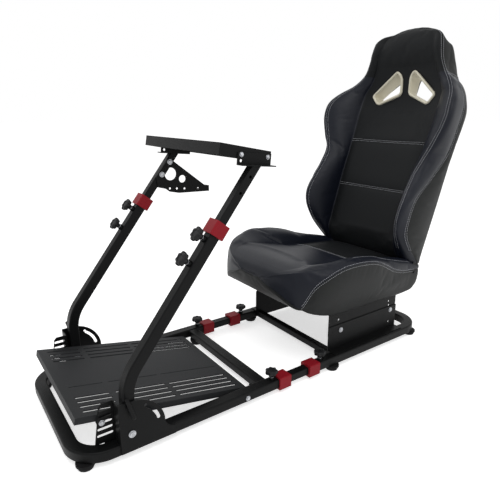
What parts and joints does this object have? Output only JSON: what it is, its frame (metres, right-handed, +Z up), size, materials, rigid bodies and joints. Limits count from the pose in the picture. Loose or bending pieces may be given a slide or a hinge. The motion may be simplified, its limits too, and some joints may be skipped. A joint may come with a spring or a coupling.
{
  "type": "sim racing cockpit",
  "caption": "Open-frame sim racing cockpit: telescoping base, tilting wheel column with deck, sloping pedal plate, shifter bracket and reclining bucket seat.",
  "frame": {"origin": "floor under the middle of the cockpit's bounding box", "axes": "+Z up, the driver faces -Y, the driver's left is +X"},
  "size_m": [0.586, 1.5722, 1.1914],
  "materials": {
    "powder_coat": "black powder coat, fine texture, satin",
    "pedal_coat": "dark grey powder coat, satin",
    "zinc": "bright zinc plate",
    "red_collar": "moulded red, semi-gloss",
    "foot_rubber": "moulded black rubber, matt",
    "knob_plastic": "moulded black, matt",
    "seat_leather": "black leatherette, fine grain, sewn channels",
    "cream_trim": "cream moulded bezel"
  },
  "bodies": {
    "rear_frame": {"rear_base_tube": "powder_coat", "rear_cross_tube": "powder_coat", "rear_feet": "foot_rubber", "rear_collars": "red_collar", "seat_bracket_left": "powder_coat", "seat_bracket_right": "powder_coat", "seat_pan_brackets": "powder_coat", "seat_bolts": "zinc", "seat_cushion": "seat_leather", "recliners": "knob_plastic"},
    "inner_rails": {"inner_rail_left": "powder_coat", "inner_rail_right": "powder_coat"},
    "front_frame": {"front_base_tube": "powder_coat", "front_cross_tube": "powder_coat", "front_feet": "foot_rubber", "front_collars": "red_collar", "side_plate_left": "powder_coat", "side_plate_right": "powder_coat", "pivot_bolts": "zinc", "pedal_plate": "pedal_coat", "pedal_bolts": "zinc"},
    "lower_posts": {"lower_post_left": "powder_coat", "lower_post_right": "powder_coat", "post_collars": "red_collar"},
    "upper_mast": {"upper_post_left": "powder_coat", "upper_post_right": "powder_coat", "wheel_deck": "powder_coat", "deck_bracket_left": "powder_coat", "deck_bracket_right": "powder_coat", "deck_bolts": "zinc", "shifter_bracket": "powder_coat", "shifter_bolts": "zinc"},
    "backrest": {"backrest": "seat_leather", "belt_bezels": "cream_trim", "backrest_arms": "powder_coat"},
    "base_knob_front_left": {"base_knob_front_left": "knob_plastic"},
    "base_knob_rear_left": {"base_knob_rear_left": "knob_plastic"},
    "post_knob_upper_left": {"post_knob_upper_left": "knob_plastic"},
    "post_knob_lower_left": {"post_knob_lower_left": "knob_plastic"},
    "lock_lever_left": {"lock_lever_left": "powder_coat"},
    "base_knob_front_right": {"base_knob_front_right": "knob_plastic"},
    "base_knob_rear_right": {"base_knob_rear_right": "knob_plastic"},
    "post_knob_upper_right": {"post_knob_upper_right": "knob_plastic"},
    "post_knob_lower_right": {"post_knob_lower_right": "knob_plastic"},
    "lock_lever_right": {"lock_lever_right": "powder_coat"}
  },
  "joints": [
    {"name": "rear_length_slide", "type": "slide", "parent": "rear_frame", "child": "inner_rails", "axis": [0, -1, 0], "range_m": [-0.035, 0.05]},
    {"name": "front_length_slide", "type": "slide", "parent": "inner_rails", "child": "front_frame", "axis": [0, -1, 0], "range_m": [-0.035, 0.05]},
    {"name": "column_tilt", "type": "hinge", "parent": "front_frame", "child": "lower_posts", "pos_m": [0, -0.63606, 0.074], "axis": [-1, 0, 0], "range_deg": [0, 14]},
    {"name": "column_height_slide", "type": "slide", "parent": "lower_posts", "child": "upper_mast", "axis": [0, 0.6157, 0.788], "range_m": [-0.045, 0.06]},
    {"name": "back_recline", "type": "hinge", "parent": "rear_frame", "child": "backrest", "pos_m": [0, 0.54395, 0.266], "axis": [-1, 0, 0], "range_deg": [-10, 55]},
    {"name": "base_knob_front_left_turn", "type": "hinge", "parent": "front_frame", "child": "base_knob_front_left", "pos_m": [0.2395, -0.16406, 0.049], "axis": [0, 0, 1], "continuous": true},
    {"name": "base_knob_rear_left_turn", "type": "hinge", "parent": "rear_frame", "child": "base_knob_rear_left", "pos_m": [0.2395, 0.04594, 0.049], "axis": [0, 0, 1], "continuous": true},
    {"name": "post_knob_upper_left_turn", "type": "hinge", "parent": "lower_posts", "child": "post_knob_upper_left", "pos_m": [0.241, -0.39563, 0.54972], "axis": [0, -0.788, 0.6157], "continuous": true},
    {"name": "post_knob_lower_left_turn", "type": "hinge", "parent": "lower_posts", "child": "post_knob_lower_left", "pos_m": [0.241, -0.44119, 0.49141], "axis": [0, -0.788, 0.6157], "continuous": true},
    {"name": "lock_lever_left_turn", "type": "hinge", "parent": "front_frame", "child": "lock_lever_left", "pos_m": [0.2615, -0.63888, 0.15495], "axis": [1, 0, 0], "continuous": true},
    {"name": "base_knob_front_right_turn", "type": "hinge", "parent": "front_frame", "child": "base_knob_front_right", "pos_m": [-0.2395, -0.16406, 0.049], "axis": [0, 0, 1], "continuous": true},
    {"name": "base_knob_rear_right_turn", "type": "hinge", "parent": "rear_frame", "child": "base_knob_rear_right", "pos_m": [-0.2395, 0.04594, 0.049], "axis": [0, 0, 1], "continuous": true},
    {"name": "post_knob_upper_right_turn", "type": "hinge", "parent": "lower_posts", "child": "post_knob_upper_right", "pos_m": [-0.241, -0.39563, 0.54972], "axis": [0, -0.788, 0.6157], "continuous": true},
    {"name": "post_knob_lower_right_turn", "type": "hinge", "parent": "lower_posts", "child": "post_knob_lower_right", "pos_m": [-0.241, -0.44119, 0.49141], "axis": [0, -0.788, 0.6157], "continuous": true},
    {"name": "lock_lever_right_turn", "type": "hinge", "parent": "front_frame", "child": "lock_lever_right", "pos_m": [-0.2615, -0.63888, 0.15495], "axis": [-1, 0, 0], "continuous": true}
  ]
}
